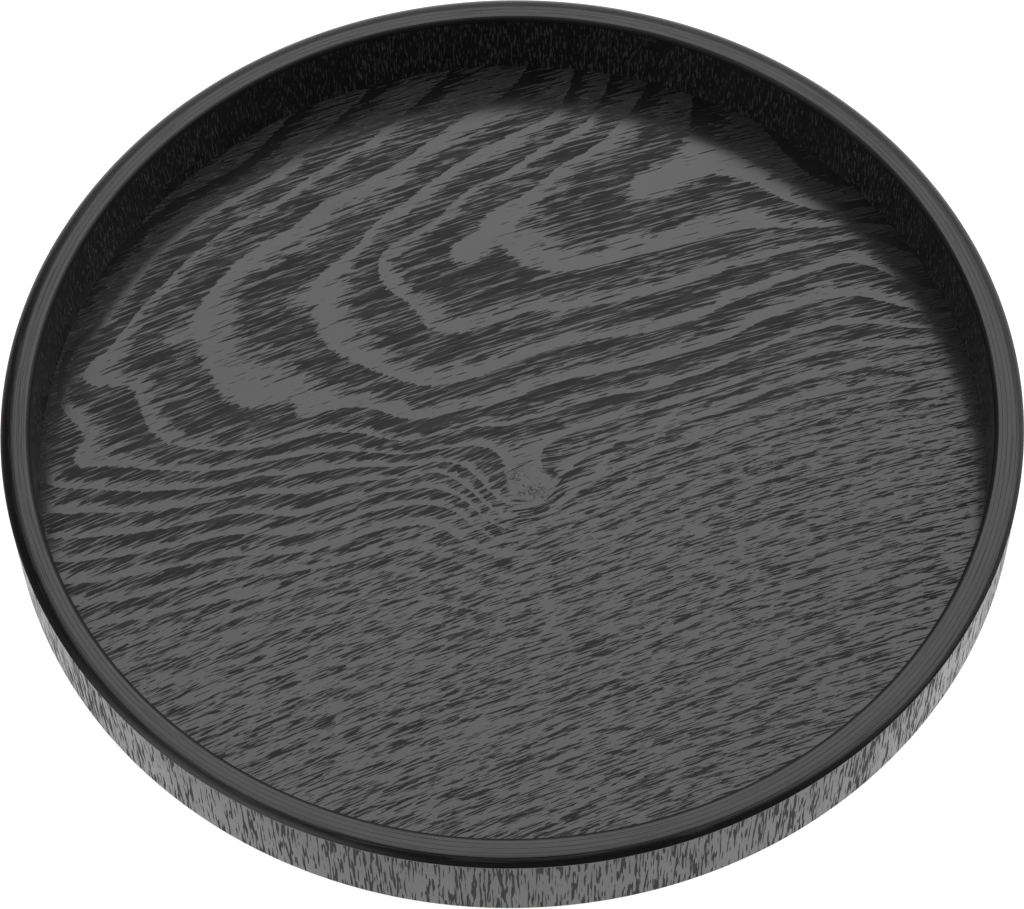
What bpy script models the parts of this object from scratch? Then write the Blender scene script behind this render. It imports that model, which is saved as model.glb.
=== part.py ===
"""A small round serving tray: a flat five-layer base panel let into a rabbet in a hoop laminated from bent strips.

Units are metres, +Z is up, and the origin is the centre of the circle that the tray stands on. Every layer is a
piece of its own, a glue line apart from the next. The hoop's strips are closed by scarf joints and its two upright
veneers by butt joints, all staggered round the tray.
"""

import math

import bmesh
import bpy

# Overall sizes
OUTER_RADIUS = 0.105
HEIGHT = 0.020

# The hoop, from outside to inside: a face veneer, the bent strips, a face veneer
RIM_VENEER = 0.0006
LAMINATION = 0.00085
LAMINATIONS = 5
LAMINATIONS_OVER_PANEL = 3
OUTER_CROWN = 0.0042
OUTER_CROWN_WIDTH = 0.0030
INNER_ROUND = 0.0012
FOOT_ROUND = 0.0005

# The base panel, and how far its underside is set up from the hoop's foot
PANEL_RECESS = 0.0004
PANEL_VENEER = 0.0004
CROSS_PLY = 0.0004
CORE_PLY = 0.0004

# Joints
GLUE_LINE = 0.0001
SCARF_SLOPE = 8.0
SCARF_STAGGER = math.radians(139.0)
FIRST_SCARF = math.radians(40.6)
OUTER_BUTT_JOINT = math.radians(93.2)
INNER_BUTT_JOINT = math.radians(-87.4)
CUTTER_MARGIN = 0.0003

# Fineness of the round faces
SEGMENTS = 96
CROWN_STEPS = 6
ARC_STEPS = 4
MERGE_DISTANCE = 0.00001
SHARP_ANGLE = math.radians(30.0)

# Sizes that follow from those above
STRIP_COUNT = LAMINATIONS + 2
RIM_THICKNESS = 2 * RIM_VENEER + LAMINATIONS * LAMINATION + (STRIP_COUNT - 1) * GLUE_LINE
INNER_RADIUS = OUTER_RADIUS - RIM_THICKNESS
PANEL_LAYERS = (
    ("base_backing_veneer", PANEL_VENEER, "lacquered_ash"),
    ("base_lower_cross_ply", CROSS_PLY, "birch_ply"),
    ("base_core_ply", CORE_PLY, "birch_ply"),
    ("base_upper_cross_ply", CROSS_PLY, "birch_ply"),
    ("floor_veneer", PANEL_VENEER, "lacquered_ash"),
)
PANEL_THICKNESS = sum(layer[1] for layer in PANEL_LAYERS) + (len(PANEL_LAYERS) - 1) * GLUE_LINE
FLOOR_HEIGHT = PANEL_RECESS + PANEL_THICKNESS
PANEL_RADIUS = INNER_RADIUS + RIM_VENEER + LAMINATIONS_OVER_PANEL * (LAMINATION + GLUE_LINE)

# Finishes: base colour and roughness
FINISHES = {
    "lacquered_ash": ((0.022, 0.022, 0.023, 1.0), 0.38),
    "lacquered_strip": ((0.028, 0.027, 0.027, 1.0), 0.34),
    "birch_ply": ((0.62, 0.47, 0.31, 1.0), 0.75),
}


def clear_scene():
    for obj in list(bpy.data.objects):
        bpy.data.objects.remove(obj, do_unlink=True)


def new_collection(name):
    collection = bpy.data.collections.new(name)
    bpy.context.scene.collection.children.link(collection)
    return collection


def make_finishes():
    """One wood finish for each entry of FINISHES."""
    made = {}
    for name, (colour, roughness) in FINISHES.items():
        material = bpy.data.materials.new(name)
        material.use_nodes = True
        shader = material.node_tree.nodes["Principled BSDF"]
        shader.inputs["Base Color"].default_value = colour
        shader.inputs["Roughness"].default_value = roughness
        shader.inputs["Metallic"].default_value = 0.0
        material.diffuse_color = colour
        made[name] = material
    return made


def arc_radii(start, radius, width, direction, steps):
    """The radii at which a rounded edge is stepped, from where it begins to where it meets the wall."""
    last = math.asin(min(width / radius, 1.0))
    turns = [last * step / steps for step in range(steps + 1)]
    return [start + direction * radius * math.sin(turn) for turn in turns]


def drop(distance, radius):
    """How far a rounded edge has fallen at a distance past its beginning."""
    past = min(max(distance, 0.0), radius)
    return radius - math.sqrt(radius * radius - past * past)


def rim_top(radius):
    """Height of the hoop's upper face: a wide crown down to the outer wall, and a small round inside."""
    outer = drop(radius - (OUTER_RADIUS - OUTER_CROWN_WIDTH), OUTER_CROWN)
    inner = drop(INNER_RADIUS + INNER_ROUND - radius, INNER_ROUND)
    return HEIGHT - outer - inner


def rim_foot(radius):
    """Height of the hoop's lower face, eased at its outer edge."""
    return drop(radius - (OUTER_RADIUS - FOOT_ROUND), FOOT_ROUND)


def between(stops, low, high):
    """The stops inside a strip, in order, clear of its two faces."""
    return sorted(stop for stop in stops if low + MERGE_DISTANCE < stop < high - MERGE_DISTANCE)


def strip_section(inside, outside, on_panel):
    """A strip's outline as (radius, height), down its outer face first."""
    crown_start = OUTER_RADIUS - OUTER_CROWN_WIDTH
    top_stops = arc_radii(crown_start, OUTER_CROWN, OUTER_CROWN_WIDTH, 1, CROWN_STEPS)
    top_stops += arc_radii(INNER_RADIUS + INNER_ROUND, INNER_ROUND, INNER_ROUND, -1, ARC_STEPS)
    foot_stops = arc_radii(OUTER_RADIUS - FOOT_ROUND, FOOT_ROUND, FOOT_ROUND, 1, ARC_STEPS)
    top = [inside, *between(top_stops, inside, outside), outside]
    section = [(radius, rim_top(radius)) for radius in top]
    if on_panel:
        seat = FLOOR_HEIGHT + GLUE_LINE
        section += [(outside, seat), (inside, seat)]
    else:
        foot = [inside, *between(foot_stops, inside, outside), outside]
        section += [(radius, rim_foot(radius)) for radius in reversed(foot)]
    return section


def finish_mesh(obj, mesh, material):
    mesh.name = obj.name
    mesh.materials.clear()
    mesh.materials.append(material)
    mesh.shade_smooth()
    mesh.set_sharp_from_angle(angle=SHARP_ANGLE)
    obj.data = mesh


def turned(name, section, material, collection):
    """A ring: the closed section turned once round the Z axis."""
    outline = bmesh.new()
    corners = [outline.verts.new((radius, 0.0, height)) for radius, height in section]
    for corner, following in zip(corners, corners[1:] + corners[:1]):
        outline.edges.new((corner, following))
    mesh = bpy.data.meshes.new(name + "_section")
    outline.to_mesh(mesh)
    outline.free()
    obj = bpy.data.objects.new(name, mesh)
    collection.objects.link(obj)
    screw = obj.modifiers.new("Turn", "SCREW")
    screw.axis = "Z"
    screw.angle = 2 * math.pi
    screw.steps = SEGMENTS
    screw.render_steps = SEGMENTS
    screw.use_merge_vertices = True
    screw.merge_threshold = MERGE_DISTANCE
    graph = bpy.context.evaluated_depsgraph_get()
    ring = bpy.data.meshes.new_from_object(obj.evaluated_get(graph))
    obj.modifiers.clear()
    finish_mesh(obj, ring, material)
    bpy.data.meshes.remove(mesh)
    return obj


def disc(name, radius, low, thickness, material, collection):
    """A flat round layer, with its facets in line with the hoop's."""
    shape = bmesh.new()
    bmesh.ops.create_cone(
        shape,
        cap_ends=True,
        segments=SEGMENTS,
        radius1=radius,
        radius2=radius,
        depth=thickness,
    )
    bmesh.ops.translate(shape, verts=shape.verts, vec=(0.0, 0.0, low + thickness / 2))
    mesh = bpy.data.meshes.new(name)
    shape.to_mesh(mesh)
    shape.free()
    obj = bpy.data.objects.new(name, mesh)
    collection.objects.link(obj)
    finish_mesh(obj, mesh, material)
    return obj


def end_joint(strip, inside, outside, around, slope, cutters):
    """Parts a ring by one glue line: a scarf that crosses the strip at the slope, or a butt joint at slope 0."""
    thickness = outside - inside
    lean = math.atan2(1.0, slope)
    length = (thickness + 2 * CUTTER_MARGIN) / math.sin(lean)
    bpy.ops.mesh.primitive_cube_add(size=1.0)
    cutter = bpy.context.object
    cutter.name = "cut_" + strip.name
    for old in list(cutter.users_collection):
        old.objects.unlink(cutter)
    cutters.objects.link(cutter)
    middle = (inside + outside) / 2
    cutter.location = (middle * math.cos(around), middle * math.sin(around), HEIGHT / 2)
    cutter.rotation_euler = (0.0, 0.0, around + math.pi / 2 - lean)
    cutter.scale = (length, GLUE_LINE, 2 * HEIGHT)
    cutter.display_type = "WIRE"
    cutter.hide_render = True
    cut = strip.modifiers.new("End joint", "BOOLEAN")
    cut.operation = "DIFFERENCE"
    cut.solver = "EXACT"
    cut.object = cutter


def make_panel(finishes, collection):
    """The base panel's layers, from the underside up."""
    layers = []
    low = PANEL_RECESS
    for name, thickness, finish in PANEL_LAYERS:
        layers.append(disc(name, PANEL_RADIUS, low, thickness, finishes[finish], collection))
        low += thickness + GLUE_LINE
    return layers


def make_hoop(finishes, collection, cutters):
    """The hoop's strips, from the outside in. The innermost ones stand on the panel."""
    plan = [("rim_outer_veneer", RIM_VENEER, "lacquered_ash", OUTER_BUTT_JOINT, 0.0)]
    for count in range(LAMINATIONS):
        number = LAMINATIONS - count
        around = FIRST_SCARF + count * SCARF_STAGGER
        plan.append((f"rim_lamination_{number}", LAMINATION, "lacquered_strip", around, SCARF_SLOPE))
    plan.append(("rim_inner_veneer", RIM_VENEER, "lacquered_ash", INNER_BUTT_JOINT, 0.0))
    strips = []
    outside = OUTER_RADIUS
    for place, (name, thickness, finish, around, slope) in enumerate(plan):
        inside = outside - thickness
        on_panel = place >= STRIP_COUNT - 1 - LAMINATIONS_OVER_PANEL
        section = strip_section(inside, outside, on_panel)
        strip = turned(name, section, finishes[finish], collection)
        end_joint(strip, inside, outside, around, slope, cutters)
        strips.append(strip)
        outside = inside - GLUE_LINE
    return strips


def main():
    clear_scene()
    tray = new_collection("serving_tray")
    cutters = new_collection("serving_tray_cutters")
    finishes = make_finishes()
    root = bpy.data.objects.new("tray_centre", None)
    tray.objects.link(root)
    for piece in make_panel(finishes, tray) + make_hoop(finishes, tray, cutters):
        piece.parent = root


main()
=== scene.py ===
# %% [markdown]
# # A round black serving tray
#
# The tray is a flat veneered panel let into a low hoop. The hoop is laminated from thin strips bent round a
# form, and faced inside and out with an upright veneer. All of it is ash under a thin black satin lacquer,
# which leaves the pores of the wood open. The frame holds the plain, exact solids, and this lesson gives
# them their finish.

# %% Load the frame
import math

import bmesh
import bpy
import numpy as np
from mathutils import Matrix, Vector


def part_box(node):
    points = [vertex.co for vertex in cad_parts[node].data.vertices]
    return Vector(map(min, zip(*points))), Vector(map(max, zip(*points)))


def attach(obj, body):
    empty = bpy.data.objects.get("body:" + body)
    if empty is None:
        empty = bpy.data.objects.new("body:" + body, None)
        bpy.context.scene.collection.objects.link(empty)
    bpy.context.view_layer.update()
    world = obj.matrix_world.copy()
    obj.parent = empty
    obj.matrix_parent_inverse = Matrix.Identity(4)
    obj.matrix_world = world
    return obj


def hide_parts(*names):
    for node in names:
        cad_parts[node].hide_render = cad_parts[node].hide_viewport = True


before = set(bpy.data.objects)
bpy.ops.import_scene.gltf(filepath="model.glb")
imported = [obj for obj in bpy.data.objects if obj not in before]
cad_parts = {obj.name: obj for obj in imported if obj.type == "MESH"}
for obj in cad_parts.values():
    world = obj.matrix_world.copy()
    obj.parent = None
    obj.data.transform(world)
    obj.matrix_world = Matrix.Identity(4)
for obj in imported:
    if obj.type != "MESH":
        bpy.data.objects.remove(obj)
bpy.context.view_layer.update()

MM = 0.001
print("nodes:", ", ".join(sorted(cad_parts)))

# %% [markdown]
# ## The camera
#
# A long lens stands well above the tray and looks down into it. The camera is placed by its angle above the
# table, its distance and the point it looks at, because those are the numbers that a person would turn by
# hand.

# %% Camera
CAMERA_ELEVATION = math.radians(58.60)
CAMERA_ROLL = math.radians(-1.31)
CAMERA_DISTANCE = 0.7355
CAMERA_TARGET = Vector((-0.00013, -0.00138, 0.0))

camera_data = bpy.data.cameras.new("camera")
camera_data.lens = 123.11
camera_data.sensor_width = 36.0
camera_data.clip_start = 0.01
camera = bpy.data.objects.new("camera", camera_data)
bpy.context.scene.collection.objects.link(camera)
towards_camera = Vector((0.0, -math.cos(CAMERA_ELEVATION), math.sin(CAMERA_ELEVATION)))
turn = Matrix.Rotation(math.pi / 2 - CAMERA_ELEVATION, 4, "X") @ Matrix.Rotation(CAMERA_ROLL, 4, "Z")
camera.matrix_world = Matrix.Translation(CAMERA_TARGET + CAMERA_DISTANCE * towards_camera) @ turn
bpy.context.scene.camera = camera
print("camera at", [round(c, 3) for c in camera.matrix_world.translation])

# %% [markdown]
# ## Sizes from the frame
#
# Nothing is measured twice: the radii and heights are read from the boxes of the frame's own nodes. A box
# tells a ring's outer radius only, so the thickness of the innermost veneer is given as a number. The seven
# rings of the hoop are listed from the outside in. In the frame they stand a glue line apart. Here each one
# reaches almost to its neighbour, which leaves the hairline that a glued joint shows.

# %% Radii and heights
RINGS = ["rim_outer_veneer"]
RINGS += [f"rim_lamination_{number}" for number in (5, 4, 3, 2, 1)]
RINGS += ["rim_inner_veneer"]
HAIRLINE = 0.02 * MM
VENEER = 0.6 * MM

outside = [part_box(name)[1].x for name in RINGS]
inside = [radius + HAIRLINE for radius in outside[1:]] + [outside[-1] - VENEER]
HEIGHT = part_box("rim_lamination_2")[1].z
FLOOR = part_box("floor_veneer")[1].z
FLOOR_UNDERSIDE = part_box("floor_veneer")[0].z
PANEL_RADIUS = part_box("floor_veneer")[1].x
OUTER_RADIUS = outside[0]
INNER_RADIUS = inside[-1]
print(f"hoop {OUTER_RADIUS / MM:.2f} to {INNER_RADIUS / MM:.2f} mm, floor at {FLOOR / MM:.2f} mm")

# %% [markdown]
# ## Building node trees
#
# A tree is easier to read when each line of it looks like a sum. These helpers add a node, fill its inputs
# with numbers or links, and hand back an output.

# %% Helpers for node trees
def feed(tree, socket, value):
    """Links an output to the socket, or sets the socket to a plain value."""
    if isinstance(value, bpy.types.NodeSocket):
        tree.links.new(value, socket)
    else:
        socket.default_value = value


def add(tree, kind, inputs=None, **settings):
    """A node with its settings made and its inputs fed, by name or by place."""
    node = tree.nodes.new(kind)
    for setting, value in settings.items():
        setattr(node, setting, value)
    for key, value in (inputs or {}).items():
        feed(tree, node.inputs[key], value)
    return node


def maths(tree, operation, *values):
    """One step of arithmetic on numbers or outputs."""
    node = add(tree, "ShaderNodeMath", dict(enumerate(values)), operation=operation)
    return node.outputs[0]


def vector_maths(tree, operation, *values):
    node = add(tree, "ShaderNodeVectorMath", dict(enumerate(values)), operation=operation)
    return node.outputs[0]


# %% [markdown]
# ## The hoop's strips
#
# Each ring of the hoop is a strip bent round a form until its ends meet. It could be turned like a bowl,
# but a bent strip has a beginning and an end, so it is swept: one section is carried round an arc. The rule
# is the same for all seven, so one Geometry Nodes tree makes them. The laminations' ends meet in a scarf, a
# long slanting joint. A sweep ends square, so the tree then turns every point about the middle in step with
# its radius: the round faces stay round, and the square ends become the slant. The tree also stores the
# direction of the wood, as lengths along and across the fibres, which the finish reads later.

# %% The rounding of the rim's top and foot
CROWN_WIDTH = 3.0 * MM
CROWN_RADIUS = 4.2 * MM
INNER_ROUND = 1.2 * MM
FOOT_ROUND = 0.5 * MM
EDGE_EASE = 0.02 * MM


def drop(distance, radius):
    """How far a rounded edge has fallen at a distance past its beginning."""
    past = min(max(distance, 0.0), radius)
    return radius - math.sqrt(radius * radius - past * past)


def rim_top(radius):
    crown = drop(radius - (OUTER_RADIUS - CROWN_WIDTH), CROWN_RADIUS)
    return HEIGHT - crown - drop(INNER_RADIUS + INNER_ROUND - radius, INNER_ROUND)


def rim_foot(radius):
    return drop(radius - (OUTER_RADIUS - FOOT_ROUND), FOOT_ROUND)


frame_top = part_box("rim_outer_veneer")[1].z
made_top = rim_top(inside[0])
print(f"outer veneer's inner edge at {made_top / MM:.2f} mm, in the frame at {frame_top / MM:.2f} mm")

# %% One strip's outline
SECTION_STEP = 0.1 * MM


def strip_outline(low_radius, high_radius, seat):
    """The outline as (radius, height): over the top from inside to outside, and back along the foot."""
    steps = max(2, round((high_radius - low_radius - 2 * EDGE_EASE) / SECTION_STEP))
    radii = np.linspace(low_radius + EDGE_EASE, high_radius - EDGE_EASE, steps + 1)
    top = [(low_radius, rim_top(low_radius + EDGE_EASE) - EDGE_EASE)]
    top += [(radius, rim_top(radius)) for radius in radii]
    top += [(high_radius, rim_top(high_radius - EDGE_EASE) - EDGE_EASE)]
    if seat > 0:
        return top + [(high_radius, seat), (low_radius, seat)]
    foot = [(high_radius, rim_foot(high_radius))]
    foot += [(radius, rim_foot(radius)) for radius in radii[::-1]]
    return top + foot + [(low_radius, rim_foot(low_radius))]


print(len(strip_outline(inside[0], outside[0], 0.0)), "corners in the outer veneer's outline")


# %% A curve from an outline
def section_curve(name, outline, path_radius):
    """A closed flat curve. A sweep round an arc carries its X outwards and its Y down."""
    curve = bpy.data.curves.new(name, "CURVE")
    curve.dimensions = "2D"
    spline = curve.splines.new("POLY")
    spline.points.add(len(outline) - 1)
    for point, (radius, height) in zip(spline.points, outline):
        point.co = (radius - path_radius, -height, 0.0, 1.0)
    spline.use_cyclic_u = True
    holder = bpy.data.objects.new(name, curve)
    bpy.context.scene.collection.objects.link(holder)
    return holder


# %% The tree that bends a strip
STRIP_INPUTS = (
    ("Section", "NodeSocketObject"),
    ("Path radius", "NodeSocketFloat"),
    ("Start angle", "NodeSocketFloat"),
    ("Sweep angle", "NodeSocketFloat"),
    ("Stations", "NodeSocketInt"),
    ("Scarf slope", "NodeSocketFloat"),
    ("Upright grain", "NodeSocketBool"),
    ("Finish", "NodeSocketMaterial"),
)


def build_strip_tree():
    tree = bpy.data.node_groups.new("bent_strip", "GeometryNodeTree")
    for name, kind in STRIP_INPUTS:
        tree.interface.new_socket(name, in_out="INPUT", socket_type=kind)
    tree.interface.new_socket("Geometry", in_out="OUTPUT", socket_type="NodeSocketGeometry")
    given = tree.nodes.new("NodeGroupInput").outputs

    arc_inputs = {
        "Resolution": given["Stations"],
        "Radius": given["Path radius"],
        "Start Angle": given["Start angle"],
        "Sweep Angle": given["Sweep angle"],
    }
    arc = add(tree, "GeometryNodeCurveArc", arc_inputs, mode="RADIUS")
    factor = add(tree, "GeometryNodeSplineParameter").outputs["Factor"]
    angle = maths(tree, "MULTIPLY_ADD", factor, given["Sweep angle"], given["Start angle"])
    noted = add(
        tree,
        "GeometryNodeStoreNamedAttribute",
        {"Geometry": arc.outputs["Curve"], "Name": "turn", "Value": angle},
        data_type="FLOAT",
    )
    section = add(tree, "GeometryNodeObjectInfo", {"Object": given["Section"]})
    swept = add(
        tree,
        "GeometryNodeCurveToMesh",
        {"Curve": noted.outputs[0], "Profile Curve": section.outputs["Geometry"], "Fill Caps": True},
    )

    position = add(tree, "GeometryNodeInputPosition").outputs[0]
    parts = add(tree, "ShaderNodeSeparateXYZ", {0: position}).outputs
    y_squared = maths(tree, "MULTIPLY", parts["Y"], parts["Y"])
    radius = maths(tree, "SQRT", maths(tree, "MULTIPLY_ADD", parts["X"], parts["X"], y_squared))
    past = maths(tree, "SUBTRACT", radius, given["Path radius"])
    lean = maths(tree, "DIVIDE", maths(tree, "MULTIPLY", past, given["Scarf slope"]), given["Path radius"])
    turned = add(
        tree,
        "ShaderNodeVectorRotate",
        {"Vector": position, "Angle": lean},
        rotation_type="Z_AXIS",
    )
    turn_attribute = add(tree, "GeometryNodeInputNamedAttribute", {"Name": "turn"}, data_type="FLOAT")
    leaning_turn = maths(tree, "ADD", turn_attribute.outputs[0], lean)
    around = maths(tree, "MULTIPLY", leaning_turn, given["Path radius"])
    long_grain = add(tree, "ShaderNodeCombineXYZ", {0: around, 1: radius, 2: parts["Z"]}).outputs[0]
    upright_grain = add(tree, "ShaderNodeCombineXYZ", {0: parts["Z"], 1: around, 2: radius}).outputs[0]
    chosen = add(
        tree,
        "GeometryNodeSwitch",
        {"Switch": given["Upright grain"], "False": long_grain, "True": upright_grain},
        input_type="VECTOR",
    )
    in_millimetres = vector_maths(tree, "DIVIDE", chosen.outputs[0], (MM, MM, MM))
    fibre = add(
        tree,
        "GeometryNodeStoreNamedAttribute",
        {"Geometry": swept.outputs[0], "Name": "fibre", "Value": in_millimetres},
        data_type="FLOAT_VECTOR",
    )
    leaned = add(
        tree,
        "GeometryNodeSetPosition",
        {"Geometry": fibre.outputs[0], "Position": turned.outputs[0]},
    )
    real = add(tree, "GeometryNodeRealizeInstances", {0: leaned.outputs[0]})
    material = given["Finish"]
    finished = add(tree, "GeometryNodeSetMaterial", {"Geometry": real.outputs[0], "Material": material})
    add(tree, "NodeGroupOutput", {0: finished.outputs[0]})
    return tree


strip_tree = build_strip_tree()
print("bent_strip has", len(strip_tree.nodes), "nodes")


# %% From a modifier to a plain mesh
SHARP_ANGLE = math.radians(30.0)
MERGE_DISTANCE = 0.001 * MM


def shade(mesh):
    mesh.shade_smooth()
    mesh.set_sharp_from_angle(angle=SHARP_ANGLE)


def settle(name, tree, settings):
    """Runs a tree once, and keeps what it makes as a plain mesh."""
    empty = bpy.data.meshes.new(name + "_source")
    piece = bpy.data.objects.new(name, empty)
    bpy.context.scene.collection.objects.link(piece)
    modifier = piece.modifiers.new("Build", "NODES")
    modifier.node_group = tree
    for label, value in settings.items():
        modifier[tree.interface.items_tree[label].identifier] = value
    graph = bpy.context.evaluated_depsgraph_get()
    mesh = bpy.data.meshes.new_from_object(
        piece.evaluated_get(graph), preserve_all_data_layers=True, depsgraph=graph
    )
    piece.modifiers.clear()
    piece.data = mesh
    mesh.name = name
    bpy.data.meshes.remove(empty)
    surface = bmesh.new()
    surface.from_mesh(mesh)
    bmesh.ops.remove_doubles(surface, verts=surface.verts, dist=MERGE_DISTANCE)
    bmesh.ops.recalc_face_normals(surface, faces=surface.faces)
    surface.to_mesh(mesh)
    surface.free()
    shade(mesh)
    return piece


# %% [markdown]
# ## The lacquered ash
#
# Ash is ring-porous: each year begins with a crowded row of wide vessels and ends in dense plain wood. Cut
# along the fibres, the vessels are short open grooves, a third of a millimetre wide and a few millimetres
# long. Thin lacquer coats the wood and sinks into the grooves, so the plain wood takes a satin shine and
# the grooves stay dull and dark. The grooves are a noise pulled out along the fibres and cut off at a
# level. Where the level is low the grooves crowd, and where it is high there are only a few. Colour,
# roughness and relief all follow the same grooves, because on the real tray they are the same thing.

# %% Grooves drawn on any fibre direction
BETWEEN_GRID_PLANES = (0.31, 0.62, 0.47)
SHORT_GROOVE_LENGTH = 0.45
SHORT_GROOVE_WIDTH = 0.8
SHORT_GROOVES_SHARE = 0.3


def smooth_step(tree, value, low, high):
    node = add(
        tree,
        "ShaderNodeMapRange",
        {"Value": value, "From Min": low, "From Max": high},
        interpolation_type="SMOOTHSTEP",
    )
    return node.outputs[0]


def stretched_noise(tree, fibre, length, width, detail=1.0):
    """A noise whose features are `length` mm along the fibres and `width` mm across them.

    A noise is flat and blocky on the planes of its own grid, so a flat sheet is moved between two of them.
    """
    scaled = vector_maths(tree, "DIVIDE", fibre, (length, width, width))
    placed = vector_maths(tree, "ADD", scaled, BETWEEN_GRID_PLANES)
    node = add(tree, "ShaderNodeTexNoise", {"Vector": placed, "Scale": 1.0, "Detail": detail})
    return node.outputs[0]


def blend(tree, factor, first, second):
    """The first value where the factor is 0, the second where it is 1."""
    node = add(tree, "ShaderNodeMix", {0: factor})
    feed(tree, node.inputs[2], first)
    feed(tree, node.inputs[3], second)
    return node.outputs[0]


def grooves(tree, fibre, level, length, width, softness=0.02):
    """1 in a vessel's groove and 0 on the land between, cut off at the given level of noise."""
    long_ones = stretched_noise(tree, fibre, length, width)
    short_size = (SHORT_GROOVE_LENGTH * length, SHORT_GROOVE_WIDTH * width)
    short_ones = stretched_noise(tree, fibre, *short_size, detail=0.0)
    past = maths(tree, "SUBTRACT", blend(tree, SHORT_GROOVES_SHARE, long_ones, short_ones), level)
    return smooth_step(tree, past, -softness, softness)


# %% The lacquer's coat
GROOVE_ROUGHNESS = 0.90
LACQUER_IOR = 1.5
CLOUD_SIZE = (30.0, 9.0)
CLOUD_RANGE = (0.2, 0.8)
CLOUD_IN_GLOSS = 0.06
RIPPLE_SIZE = (3.0, 0.7)
RIPPLE_IN_RELIEF = 0.06
RELIEF_STRENGTH = 0.7


def new_finish(name):
    material = bpy.data.materials.new(name)
    material.use_nodes = True
    return material, material.node_tree, material.node_tree.nodes["Principled BSDF"]


def mix_colour(tree, factor, first, second):
    node = tree.nodes.new("ShaderNodeMix")
    node.data_type = "RGBA"
    feed(tree, node.inputs[0], factor)
    feed(tree, node.inputs[6], first)
    feed(tree, node.inputs[7], second)
    return node.outputs[2]


def attribute(tree, name, output="Vector"):
    return add(tree, "ShaderNodeAttribute", attribute_name=name).outputs[output]


def coat_with_lacquer(tree, shader, fibre, groove, land, sunk, land_roughness, depth, ior=LACQUER_IOR):
    """Colour, roughness and relief that follow the grooves, with a slow unevenness in the coat.

    The land between the grooves and the sunk lacquer in them are each given as one shade, 0 for black.
    """
    cloud = stretched_noise(tree, fibre, *CLOUD_SIZE, detail=3.0)
    shade_of_black = blend(tree, groove, land, sunk)
    colour = add(tree, "ShaderNodeCombineColor", {channel: shade_of_black for channel in range(3)})
    tree.links.new(colour.outputs[0], shader.inputs["Base Color"])
    clouded = smooth_step(tree, cloud, *CLOUD_RANGE)
    smoothest = land_roughness - CLOUD_IN_GLOSS / 2
    on_land = maths(tree, "MULTIPLY_ADD", clouded, CLOUD_IN_GLOSS, smoothest)
    roughness = blend(tree, groove, on_land, GROOVE_ROUGHNESS)
    tree.links.new(roughness, shader.inputs["Roughness"])
    ripple = stretched_noise(tree, fibre, *RIPPLE_SIZE)
    height = maths(tree, "MULTIPLY_ADD", ripple, RIPPLE_IN_RELIEF, maths(tree, "MULTIPLY", groove, -1.0))
    bump = add(tree, "ShaderNodeBump", {"Height": height, "Distance": depth, "Strength": RELIEF_STRENGTH})
    tree.links.new(bump.outputs[0], shader.inputs["Normal"])
    shader.inputs["IOR"].default_value = ior


# %% [markdown]
# ## The finish of the upright veneers
#
# The veneers on the two walls of the hoop have their grain upright, because thin wood bends most easily
# across its fibres. The grooves crowd into soft bands round the wall, where the knife met one year's early
# wood after another. The veneers' top edges were sanded round with the strips between them, and are as dark
# as they are. The inner wall is the hardest place to spray, so its coat is thin and shines the least.

# %% Upright veneer
SANDED_EDGE = (18.5, 18.7)
STRIP_LAND = 0.003
BAND_SIZE = (60.0, 8.0)
BAND_RANGE = (0.35, 0.65)
VENEER_GROOVE_DEPTH = 0.08 * MM


def upright_ash(name, groove_size, levels, land, sunk, land_roughness, ior):
    """An upright veneer. Its top edge is sanded round with the strips, and is as dark as they are."""
    material, tree, shader = new_finish(name)
    fibre = attribute(tree, "fibre")
    bands = stretched_noise(tree, fibre, *BAND_SIZE, detail=2.0)
    level = blend(tree, smooth_step(tree, bands, *BAND_RANGE), *levels)
    groove = grooves(tree, fibre, level, *groove_size)
    height = add(tree, "ShaderNodeSeparateXYZ", {0: fibre}).outputs["X"]
    on_top = smooth_step(tree, height, *SANDED_EDGE)
    groove = blend(tree, on_top, groove, 0.0)
    land = blend(tree, on_top, land, STRIP_LAND)
    coat_with_lacquer(tree, shader, fibre, groove, land, sunk, land_roughness, VENEER_GROOVE_DEPTH, ior)
    return material


# %% [markdown]
# ## The finish of the laminations
#
# Only the edges of the laminations show, on the rim's top. They were sanded round after the glue had set,
# so the lacquer lies smoother there, with long thin scratches of grain that run with the hoop.

# %% Long-grained strip
SANDED_IOR = 1.43
SCRATCH_LEVEL = 0.60
SCRATCH_SHARE = 0.35
STRIP_SUNK = 0.008
STRIP_ROUGHNESS = 0.27
SCRATCH_DEPTH = 0.03 * MM


def strip_ash():
    material, tree, shader = new_finish("lacquered_ash_strip")
    fibre = attribute(tree, "fibre")
    groove = grooves(tree, fibre, SCRATCH_LEVEL, length=16.0, width=0.25, softness=0.06)
    scratch = maths(tree, "MULTIPLY", groove, SCRATCH_SHARE)
    coat_with_lacquer(
        tree,
        shader,
        fibre,
        scratch,
        land=STRIP_LAND,
        sunk=STRIP_SUNK,
        land_roughness=STRIP_ROUGHNESS,
        depth=SCRATCH_DEPTH,
        ior=SANDED_IOR,
    )
    return material


# %% The hoop's three finishes
THIN_COAT_IOR = 1.38

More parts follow.
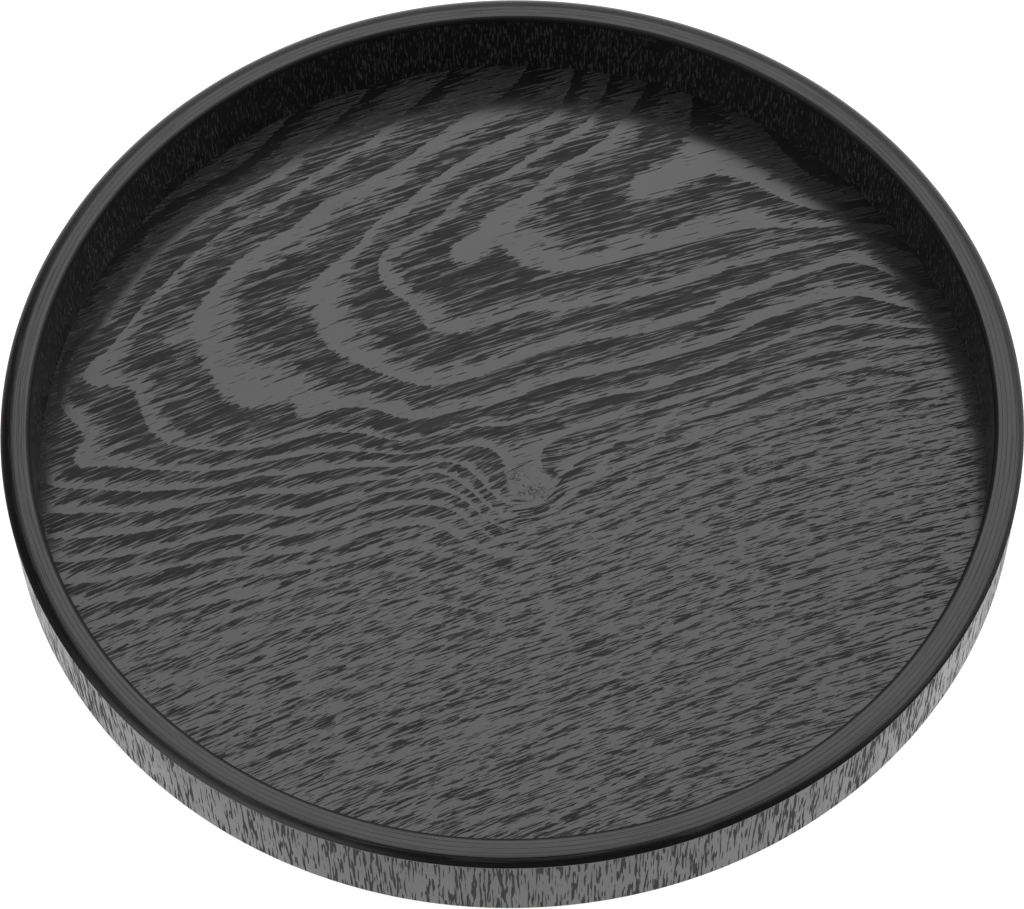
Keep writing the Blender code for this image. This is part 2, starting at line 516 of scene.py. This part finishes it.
strip_finish = strip_ash()
veneer_finishes = {
    "rim_outer_veneer": upright_ash(
        "lacquered_ash_outer_wall",
        groove_size=(8.0, 0.46),
        levels=(0.515, 0.575),
        land=0.030,
        sunk=0.022,
        land_roughness=0.28,
        ior=LACQUER_IOR,
    ),
    # The inner wall's land, 0.009, is darker than the outer wall's 0.030: painted shade. Its grooves, 0.050,
    # are much lighter than its land: painted highlights where the grooves' edges would catch the light.
    "rim_inner_veneer": upright_ash(
        "lacquered_ash_inner_wall_painted_shade_and_highlights",
        groove_size=(3.6, 0.42),
        levels=(0.55, 0.595),
        land=0.009,
        sunk=0.050,
        land_roughness=0.50,
        ior=THIN_COAT_IOR,
    ),
}
print("finishes:", strip_finish.name, *(finish.name for finish in veneer_finishes.values()))

# %% [markdown]
# ## The seven rings
#
# Now the tree runs once for each ring. The scarfs and the two butt joints are staggered round the tray, so
# that no two weak places lie side by side.

# %% Bend the seven rings
STATIONS = 481
END_GAP = 0.04 * MM
SCARF_SLOPE = 8.0
SCARF_STAGGER = math.radians(139.0)
FIRST_SCARF = math.radians(40.6)
BUTT_JOINTS = {"rim_outer_veneer": math.radians(93.2), "rim_inner_veneer": math.radians(-87.4)}

for place, name in enumerate(RINGS):
    upright = name in BUTT_JOINTS
    stands_on_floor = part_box(name)[0].z > FLOOR
    seat = FLOOR + HAIRLINE if stands_on_floor else 0.0
    outline = strip_outline(inside[place], outside[place], seat)
    section = section_curve(name + "_section", outline, outside[place])
    start = BUTT_JOINTS[name] if upright else FIRST_SCARF + (place - 1) * SCARF_STAGGER
    ring = settle(
        name + "_finished",
        strip_tree,
        {
            "Section": section,
            "Path radius": outside[place],
            "Start angle": start,
            "Sweep angle": 2 * math.pi - END_GAP / outside[place],
            "Stations": STATIONS,
            "Scarf slope": 0.0 if upright else SCARF_SLOPE,
            "Upright grain": upright,
            "Finish": veneer_finishes.get(name, strip_finish),
        },
    )
    bpy.data.objects.remove(section)
    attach(ring, "root")
    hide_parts(name)
    print(f"{ring.name}: {len(ring.data.polygons)} faces")

# %% [markdown]
# ## The figure of the floor
#
# The floor is one wide leaf of flat-cut ash. Such a cut skims the year rings at a slant, so they come out
# as a nest of pointed arches. Below the arches the rings run side by side and swerve round a small knot. A
# figure like that can't come from a noise alone. Here it is drawn the way a map is: each line below is the
# edge of one year, as a few points in millimetres from the tray's middle. A thin-plate surface, the shape
# that a springy sheet takes when it is pinned at those points, gives the year at every other point.

# %% The years' edges, from the innermost arch outwards
YEAR_EDGES = {
    0: ((40, 77), (32, 70), (26, 62), (35, 62), (54, 65), (72, 57)),
    1: ((25, 82), (13, 72), (-4, 59), (-12, 51), (-2, 50), (5, 44), (11, 43), (29, 47), (69, 53)),
    2: ((18, 83), (0, 70), (-16, 57), (-27, 49), (-28, 43), (-22, 36), (-17, 29), (3, 32), (43, 41),
        (75, 50)),
    3: ((10, 85), (-18, 66), (-32, 52), (-49, 36), (-42, 34), (-39, 25), (-32, 20), (-8, 16), (18, 25),
        (79, 42)),
    4: ((-9, 85), (-40, 63), (-74, 28), (-67, 27), (-63, 16), (-54, 10), (-46, 11), (-43, 7), (-29, 9),
        (-19, 6), (-2, 10), (22, 17), (45, 24), (91, 30)),
    5: ((-27, 82), (-60, 57), (-91, 19), (-81, 16), (-73, 2), (-53, 0), (-41, 3), (-24, 1), (-2, 4), (22, 11),
        (52, 21), (82, 27)),
    6: ((-52, 70), (-88, 33), (-96, 19), (-90, 4), (-90, -4), (-58, -5), (-48, -3), (-12, -1), (-6, -1),
        (-2, -5), (-1, -10), (3, -13), (6, -10), (6, -5), (7, -1), (13, 2), (30, 7), (94, 23)),
    7: ((-60, 72), (-89, 45), (-99, 30), (-89, -9), (-53, -7), (-19, -5), (-12, -5), (-8, -8), (-4, -13),
        (2, -16), (9, -11), (22, -1), (52, 10), (90, 18)),
    8: ((-94, -15), (-58, -12), (-17, -7), (-12, -9), (-7, -14), (2, -19), (13, -13), (37, -1), (90, 14)),
    9: ((-93, -21), (-58, -16), (-45, -17), (-29, -12), (-16, -11), (-9, -15), (3, -21), (18, -16),
        (90, 9)),
    12: ((-90, -37), (-45, -30), (0, -33), (45, -14), (90, -1)),
    16: ((-90, -58), (-45, -48), (0, -48), (45, -28), (90, -14)),
    21: ((-60, -80), (0, -66), (45, -46), (90, -31)),
    27: ((-45, -98), (0, -89), (45, -68), (90, -50)),
}

# %% [markdown]
# Not every year is crowded to the same depth. Each share below is the part of a year, from its edge on, that
# is full of vessels. The shares belong to the middles of the first seven years, and pass evenly from one to
# the next.

# %% How much of each year is crowded
MIDDLES_OF_YEARS = (0.5, 1.5, 2.5, 3.5, 4.5, 5.5, 6.5)
CROWDED_SHARES = (0.58, 0.70, 0.66, 0.55, 0.74, 0.70, 0.62)

print(f"crowded shares from {min(CROWDED_SHARES)} to {max(CROWDED_SHARES)}")


# %% A sheet pinned to the years' edges
def thin_plate(distance):
    """The bend of a springy sheet at a distance from a pin."""
    safe = np.maximum(distance, 1e-9)
    return np.where(distance > 0, safe * safe * np.log(safe), 0.0)


def pinned_sheet(pins, heights):
    """A function that gives the sheet's height anywhere, once it is pinned at the given heights."""
    count = len(pins)
    apart = np.linalg.norm(pins[:, None] - pins[None], axis=2)
    flat = np.column_stack([np.ones(count), pins])
    system = np.zeros((count + 3, count + 3))
    system[:count, :count] = thin_plate(apart)
    system[:count, count:] = flat
    system[count:, :count] = flat.T
    weights = np.linalg.solve(system, np.concatenate([heights, np.zeros(3)]))

    def height_at(points):
        reach = thin_plate(np.linalg.norm(points[:, None] - pins[None], axis=2))
        return reach @ weights[:count] + weights[count] + points @ weights[count + 1:]

    return height_at


pins = np.array([point for edge in YEAR_EDGES.values() for point in edge], float)
years = np.array([year for year, edge in YEAR_EDGES.items() for _ in edge], float)
year_at = pinned_sheet(pins, years)
year_in_middle = year_at(np.zeros((1, 2)))[0]
print(f"{len(pins)} points on {len(YEAR_EDGES)} edges; the tray's middle is in year {year_in_middle:.2f}")

# %% [markdown]
# ## The direction of the fibres
#
# The fibres cross the floor at about twenty degrees and bow a little. Round the knot they part and close
# again like water round a post, and the sums for that flow are used here as they stand.

# %% Fibres round a knot
FIBRE_ANGLE = math.radians(20.0)
FIBRE_BOW = 0.0006
KNOT = np.array((3.5, -10.5))
KNOT_RADIUS = 3.0
KNOT_CLEARANCE = 1.2


def fibre_at(points):
    """Millimetres along and across the fibres at each point."""
    cosine, sine = math.cos(FIBRE_ANGLE), math.sin(FIBRE_ANGLE)
    past = points - KNOT
    along = past[:, 0] * cosine + past[:, 1] * sine
    across = past[:, 1] * cosine - past[:, 0] * sine
    distance = np.maximum(np.hypot(along, across), KNOT_CLEARANCE * KNOT_RADIUS)
    squeeze = (KNOT_RADIUS / distance) ** 2
    bowed = across * (1 - squeeze) + FIBRE_BOW * along**2
    return np.column_stack([along * (1 + squeeze), bowed])


print(f"knot at {KNOT[0]:.1f}, {KNOT[1]:.1f} mm from the middle")


# %% [markdown]
# ## The floor's leaf of veneer
#
# The leaf is a thin round sheet. Its top carries the year and the fibre direction of each point, so it
# needs a fine mesh, about a millimetre between points. A grid bent into a disc keeps its squares even all
# over, where a wheel of wedges would crowd them in the middle.

# %% A disc made of even squares
FLOOR_SQUARES = 180


def disc_grid(radius, squares):
    """A square grid's points, moved so that its square outlines become circles, and its faces."""
    steps = np.linspace(-1.0, 1.0, squares + 1)
    x, y = (axis.ravel() for axis in np.meshgrid(steps, steps))
    reach = np.maximum(np.abs(x), np.abs(y))
    upright = np.abs(y) >= np.abs(x)
    swing = math.pi / 4 * np.where(upright, x, y) / np.where(reach > 0, reach, 1.0)
    upright_angle = np.where(y > 0, math.pi / 2 - swing, swing - math.pi / 2)
    level_angle = np.where(x > 0, swing, math.pi - swing)
    angle = np.where(upright, upright_angle, level_angle)
    points = radius * reach[:, None] * np.column_stack([np.cos(angle), np.sin(angle)])
    row = squares + 1
    faces = [
        (first, first + 1, first + row + 1, first + row)
        for line in range(squares)
        for first in range(line * row, line * row + squares)
    ]
    return points, faces


print(f"{FLOOR_SQUARES**2} squares, {2 * PANEL_RADIUS / FLOOR_SQUARES / MM:.2f} mm wide in the middle")


# %% The leaf, with its years and fibres
def make_floor(material):
    points, faces = disc_grid(PANEL_RADIUS, FLOOR_SQUARES)
    mesh = bpy.data.meshes.new("floor_veneer_finished")
    mesh.from_pydata([(x, y, FLOOR) for x, y in points], [], faces)
    sheet = bmesh.new()
    sheet.from_mesh(mesh)
    rim = [edge for edge in sheet.edges if edge.is_boundary]
    lower = bmesh.ops.extrude_edge_only(sheet, edges=rim)["geom"]
    for vertex in (item for item in lower if isinstance(item, bmesh.types.BMVert)):
        vertex.co.z = FLOOR_UNDERSIDE
    bmesh.ops.holes_fill(sheet, edges=[edge for edge in sheet.edges if edge.is_boundary], sides=0)
    bmesh.ops.recalc_face_normals(sheet, faces=sheet.faces)
    sheet.to_mesh(mesh)
    sheet.free()

    flat = np.zeros(len(mesh.vertices) * 3, np.float32)
    mesh.vertices.foreach_get("co", flat)
    places = flat.reshape(-1, 3)[:, :2] / MM
    year = year_at(places)
    mesh.attributes.new("year", "FLOAT", "POINT").data.foreach_set("value", year.astype(np.float32))
    crowded = np.interp(year, MIDDLES_OF_YEARS, CROWDED_SHARES)
    mesh.attributes.new("crowded", "FLOAT", "POINT").data.foreach_set("value", crowded.astype(np.float32))
    fibre = np.zeros((len(places), 3), np.float32)
    fibre[:, :2] = fibre_at(places)
    mesh.attributes.new("fibre", "FLOAT_VECTOR", "POINT").data.foreach_set("vector", fibre.ravel())
    mesh.materials.append(material)
    shade(mesh)
    floor = bpy.data.objects.new("floor_veneer_finished", mesh)
    bpy.context.scene.collection.objects.link(floor)
    return floor


# %% [markdown]
# ## The floor's finish
#
# A year starts at its edge with crowded vessels, and thins out towards the next edge. The change back is
# sudden. So the level at which the grooves are cut off follows the year's fraction. How much of it is
# crowded differs from year to year, which is what the shares above are for. Low in the figure the years are
# narrow, and the vessels of one reach into the next, so the contrast fades there. Inside the knot the wood
# has no direction of its own, and a few fine squiggles take the grooves' place.

# %% The knot
KNOT_REACH = (5.5 * MM, 4.5 * MM, 1.0)
KNOT_EDGE = (0.75, 1.05)
SQUIGGLE_SIZE = (1.1 * MM, 0.9 * MM, 1.0)
SQUIGGLE_THICKNESS = 0.04
SQUIGGLE_PATCH = (2.6, 2.2)
PATCH_RANGE = (0.48, 0.60)
SQUIGGLE_DEPTH = 0.70


def knotted(tree, place, groove):
    """Swaps the grooves for a few fine squiggles inside the knot."""
    centre = (KNOT[0] * MM, KNOT[1] * MM, FLOOR)
    past = vector_maths(tree, "DIVIDE", vector_maths(tree, "SUBTRACT", place, centre), KNOT_REACH)
    distance = add(tree, "ShaderNodeVectorMath", {0: past}, operation="LENGTH").outputs["Value"]
    cells = vector_maths(tree, "DIVIDE", place, SQUIGGLE_SIZE)
    swirl = add(tree, "ShaderNodeTexNoise", {"Vector": cells, "Scale": 1.0, "Detail": 1.0}).outputs[0]
    off_line = maths(tree, "ABSOLUTE", maths(tree, "SUBTRACT", swirl, 0.5))
    on_line = maths(tree, "SUBTRACT", 1.0, smooth_step(tree, off_line, 0.0, SQUIGGLE_THICKNESS))
    patches = smooth_step(tree, stretched_noise(tree, cells, *SQUIGGLE_PATCH), *PATCH_RANGE)
    squiggle = maths(tree, "MULTIPLY", SQUIGGLE_DEPTH, maths(tree, "MULTIPLY", on_line, patches))
    return blend(tree, smooth_step(tree, distance, *KNOT_EDGE), squiggle, groove)


# %% Flat-cut ash, from high in the figure to low
LOW_FIGURE_LEAN = 0.35
LOW_FIGURE = (-8.0 * MM, 30.0 * MM)
RAGGED_SIZE = (6.0, 0.45)
RAGGED_YEARS = 0.20
FRINGE = 0.9
THINNING = (-0.08, 0.10)
CROWDED_LEVELS = (0.478, 0.538)
OPEN_LEVELS = (0.68, 0.60)
LONG_VESSELS = (9.0, 0.34)
SHORT_VESSELS = (3.8, 0.27)
SHARES_OF_SHORT = (0.35, 0.80)
SOFT_EDGES = (0.040, 0.014)
STRENGTH_SIZE = (12.0, 1.5)
STRENGTH_RANGE = (0.25, 0.55)
WEAKEST_GROOVE = 0.8
FLOOR_GROOVE_DEPTH = 0.10 * MM


def floor_ash():
    """The levels, the shares of short vessels and the soft edges are pairs: high in the figure, then low."""
    material, tree, shader = new_finish("lacquered_ash_floor")
    fibre = attribute(tree, "fibre")
    year = attribute(tree, "year", "Fac")
    crowded = attribute(tree, "crowded", "Fac")
    place = add(tree, "ShaderNodeTexCoord").outputs["Object"]
    right, back, _ = add(tree, "ShaderNodeSeparateXYZ", {0: place}).outputs
    downhill = maths(tree, "SUBTRACT", maths(tree, "MULTIPLY", right, LOW_FIGURE_LEAN), back)
    low = smooth_step(tree, downhill, *LOW_FIGURE)

    ragged = maths(tree, "SUBTRACT", stretched_noise(tree, fibre, *RAGGED_SIZE), 0.5)
    fraction = maths(tree, "FRACT", maths(tree, "MULTIPLY_ADD", ragged, RAGGED_YEARS, year))
    fringed = maths(tree, "MULTIPLY_ADD", ragged, FRINGE, fraction)
    past_share = maths(tree, "SUBTRACT", fringed, crowded)
    thinning = smooth_step(tree, past_share, *THINNING)
    crowded_level = blend(tree, low, *CROWDED_LEVELS)
    open_level = blend(tree, low, *OPEN_LEVELS)
    level = blend(tree, thinning, crowded_level, open_level)

    long_ones = stretched_noise(tree, fibre, *LONG_VESSELS, detail=2.0)
    short_ones = stretched_noise(tree, fibre, *SHORT_VESSELS)
    mixed = blend(tree, blend(tree, low, *SHARES_OF_SHORT), long_ones, short_ones)
    softness = blend(tree, low, *SOFT_EDGES)
    past = maths(tree, "DIVIDE", maths(tree, "SUBTRACT", mixed, level), softness)
    groove = knotted(tree, place, smooth_step(tree, past, -1.0, 1.0))
    strong = smooth_step(tree, stretched_noise(tree, fibre, *STRENGTH_SIZE), *STRENGTH_RANGE)
    strength = maths(tree, "MULTIPLY_ADD", strong, 1.0 - WEAKEST_GROOVE, WEAKEST_GROOVE)
    groove = maths(tree, "MULTIPLY", groove, strength)
    coat_with_lacquer(
        tree,
        shader,
        fibre,
        groove,
        land=0.004,
        sunk=0.006,
        land_roughness=0.20,
        depth=FLOOR_GROOVE_DEPTH,
    )
    return material


floor = make_floor(floor_ash())
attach(floor, "root")
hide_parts("floor_veneer")
print(f"floor: {len(floor.data.polygons)} faces")

# %% [markdown]
# ## The underside and the plies
#
# The backing veneer is plain straight-grained ash with the same lacquer. The three plies between the
# veneers are bare birch, and only someone who takes the tray apart sees them. The frame's own solids are
# right for all four, so they only get a finish.

# %% Backing veneer
BACKING_BAND = (160.0, 3.0)
BACKING_RANGE = (0.4, 0.6)
BACKING_LEVELS = (0.47, 0.57)
PER_MM = (1 / MM, 1 / MM, 1 / MM)


def backing_ash():
    material, tree, shader = new_finish("lacquered_ash_backing")
    place = add(tree, "ShaderNodeTexCoord").outputs["Object"]
    fibre = add(tree, "ShaderNodeMapping", {"Vector": place, "Scale": PER_MM}).outputs[0]
    bands = stretched_noise(tree, fibre, *BACKING_BAND, detail=2.0)
    level = blend(tree, smooth_step(tree, bands, *BACKING_RANGE), *BACKING_LEVELS)
    groove = grooves(tree, fibre, level, length=4.5, width=0.45)
    coat_with_lacquer(
        tree,
        shader,
        fibre,
        groove,
        land=0.010,
        sunk=0.015,
        land_roughness=0.30,
        depth=VENEER_GROOVE_DEPTH,
    )
    return material


# %% Birch plies
PALE_BIRCH = (0.66, 0.50, 0.33, 1.0)
DARK_BIRCH = (0.52, 0.37, 0.22, 1.0)
BIRCH_STREAK = (40.0, 1.2)
STREAK_RANGE = (0.3, 0.7)
BIRCH_ROUGHNESS = 0.62
STREAK_IN_ROUGHNESS = 0.15
BIRCH_RELIEF = 0.05 * MM


def birch(name, turn_degrees):
    material, tree, shader = new_finish(name)
    place = add(tree, "ShaderNodeTexCoord").outputs["Object"]
    fibre = add(
        tree,
        "ShaderNodeMapping",
        {"Vector": place, "Rotation": (0.0, 0.0, math.radians(turn_degrees)), "Scale": PER_MM},
    ).outputs[0]
    streak = stretched_noise(tree, fibre, *BIRCH_STREAK, detail=4.0)
    colour = mix_colour(tree, smooth_step(tree, streak, *STREAK_RANGE), PALE_BIRCH, DARK_BIRCH)
    tree.links.new(colour, shader.inputs["Base Color"])
    roughness = maths(tree, "MULTIPLY_ADD", streak, STREAK_IN_ROUGHNESS, BIRCH_ROUGHNESS)
    tree.links.new(roughness, shader.inputs["Roughness"])
    bump = add(tree, "ShaderNodeBump", {"Height": streak, "Distance": BIRCH_RELIEF, "Strength": 0.4})
    tree.links.new(bump.outputs[0], shader.inputs["Normal"])
    return material


# %% Dress the four layers under the floor
def dress(node, material):
    """Puts a finish on one of the frame's own solids."""
    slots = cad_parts[node].material_slots
    for slot in slots:
        slot.material = material
    if not slots:
        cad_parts[node].data.materials.append(material)
    print(f"{node}: {material.name}")


dress("base_backing_veneer", backing_ash())
dress("base_lower_cross_ply", birch("birch_lower_cross_ply", 90.0))
dress("base_core_ply", birch("birch_core_ply", 20.0))
dress("base_upper_cross_ply", birch("birch_upper_cross_ply", 110.0))

# %% [markdown]
# ## Table and light
#
# A black gloss shows its surroundings more than itself, so the light is placed for its reflection. One wide
# softbox hangs over and behind the tray, further to the right than to the left. It lights the floor and the
# rim's flat top. A second lamp just under it, right above the tray, adds a little there. In front it is
# dark, which leaves the black line along the rim's outer crown. A white card on the left draws a grey line
# beside the black one. The table is white and glows, so it stays even, and the outer wall reflects it.

# %% Table
TABLE_HALF = 4.0
TABLE_GLOW = 0.90
TABLE_GREYS = ((0.30, 0.30, 0.30, 1.0), (0.33, 0.33, 0.33, 1.0))


def table_white():
    material, tree, shader = new_finish("table_white")
    place = add(tree, "ShaderNodeTexCoord").outputs["Object"]
    tooth = add(tree, "ShaderNodeTexNoise", {"Vector": place, "Scale": 60.0, "Detail": 2.0}).outputs[0]
    shade_of_white = mix_colour(tree, tooth, *TABLE_GREYS)
    tree.links.new(shade_of_white, shader.inputs["Base Color"])
    shader.inputs["Roughness"].default_value = 1.0
    shader.inputs["Specular IOR Level"].default_value = 0.0
    shader.inputs["Emission Color"].default_value = (1.0, 1.0, 1.0, 1.0)
    shader.inputs["Emission Strength"].default_value = TABLE_GLOW
    return material


corners = [(TABLE_HALF * x, TABLE_HALF * y, 0.0) for x, y in ((-1, -1), (1, -1), (1, 1), (-1, 1))]
table_mesh = bpy.data.meshes.new("table")
table_mesh.from_pydata(corners, [], [(0, 1, 2, 3)])
table_mesh.materials.append(table_white())
table = bpy.data.objects.new("table", table_mesh)
bpy.context.scene.collection.objects.link(table)
print(f"table {2 * TABLE_HALF:.0f} m square")

# %% Softbox
SOFTBOX_HEIGHT = 0.90
SOFTBOX_X = (-0.52, 1.70)
SOFTBOX_Y = (-0.33, 0.88)
SOFTBOX_TURN = math.radians(-8.0)
SOFTBOX_POWER = 20.3
MIDDLE_X = (-0.26, 0.10)
MIDDLE_HEIGHT = 0.88
MIDDLE_POWER = 0.50


def softbox(name, x_range, y_range, height, turn_about_z, power):
    light = bpy.data.lights.new(name, "AREA")
    light.shape = "RECTANGLE"
    light.size = x_range[1] - x_range[0]
    light.size_y = y_range[1] - y_range[0]
    light.energy = power
    lamp = bpy.data.objects.new(name, light)
    lamp.location = (sum(x_range) / 2, sum(y_range) / 2, height)
    lamp.rotation_euler.z = turn_about_z
    bpy.context.scene.collection.objects.link(lamp)
    print(f"{name}: {light.size:.2f} by {light.size_y:.2f} m, {power} W")


softbox("softbox_overhead", SOFTBOX_X, SOFTBOX_Y, SOFTBOX_HEIGHT, SOFTBOX_TURN, SOFTBOX_POWER)
softbox("softbox_bright_middle", MIDDLE_X, SOFTBOX_Y, MIDDLE_HEIGHT, SOFTBOX_TURN, MIDDLE_POWER)

# %% Surroundings
DARK = 0.07
BACKDROP = 0.90
BACKDROP_TOWARDS = (0.35, 0.94, 0.0)
BACKDROP_EDGE = (0.35, 0.75)
SIDE_CARD = 1.40
SIDE_CARD_TOWARDS = (-0.72, -0.50, 0.48)
SIDE_CARD_EDGE = (0.88, 0.96)
SHOWN_BEHIND = 1.0


def surroundings():
    """Dark all round, but for a bright backdrop behind, and a white card in front on the left."""
    world = bpy.data.worlds.new("studio")
    world.use_nodes = True
    tree = world.node_tree
    background = tree.nodes["Background"]
    direction = add(tree, "ShaderNodeTexCoord").outputs["Generated"]

    def facing(towards, low, high):
        node = add(tree, "ShaderNodeVectorMath", {0: direction, 1: towards}, operation="DOT_PRODUCT")
        return smooth_step(tree, node.outputs["Value"], low, high)

    backdrop = blend(tree, facing(BACKDROP_TOWARDS, *BACKDROP_EDGE), DARK, BACKDROP)
    card = facing(SIDE_CARD_TOWARDS, *SIDE_CARD_EDGE)
    strength = maths(tree, "MULTIPLY_ADD", card, SIDE_CARD, backdrop)
    seen = add(tree, "ShaderNodeLightPath").outputs["Is Camera Ray"]
    tree.links.new(blend(tree, seen, strength, SHOWN_BEHIND), background.inputs["Strength"])
    background.inputs["Color"].default_value = (1.0, 1.0, 1.0, 1.0)
    bpy.context.scene.world = world


surroundings()
bpy.context.scene.view_settings.view_transform = "Standard"
print("world:", bpy.context.scene.world.name)
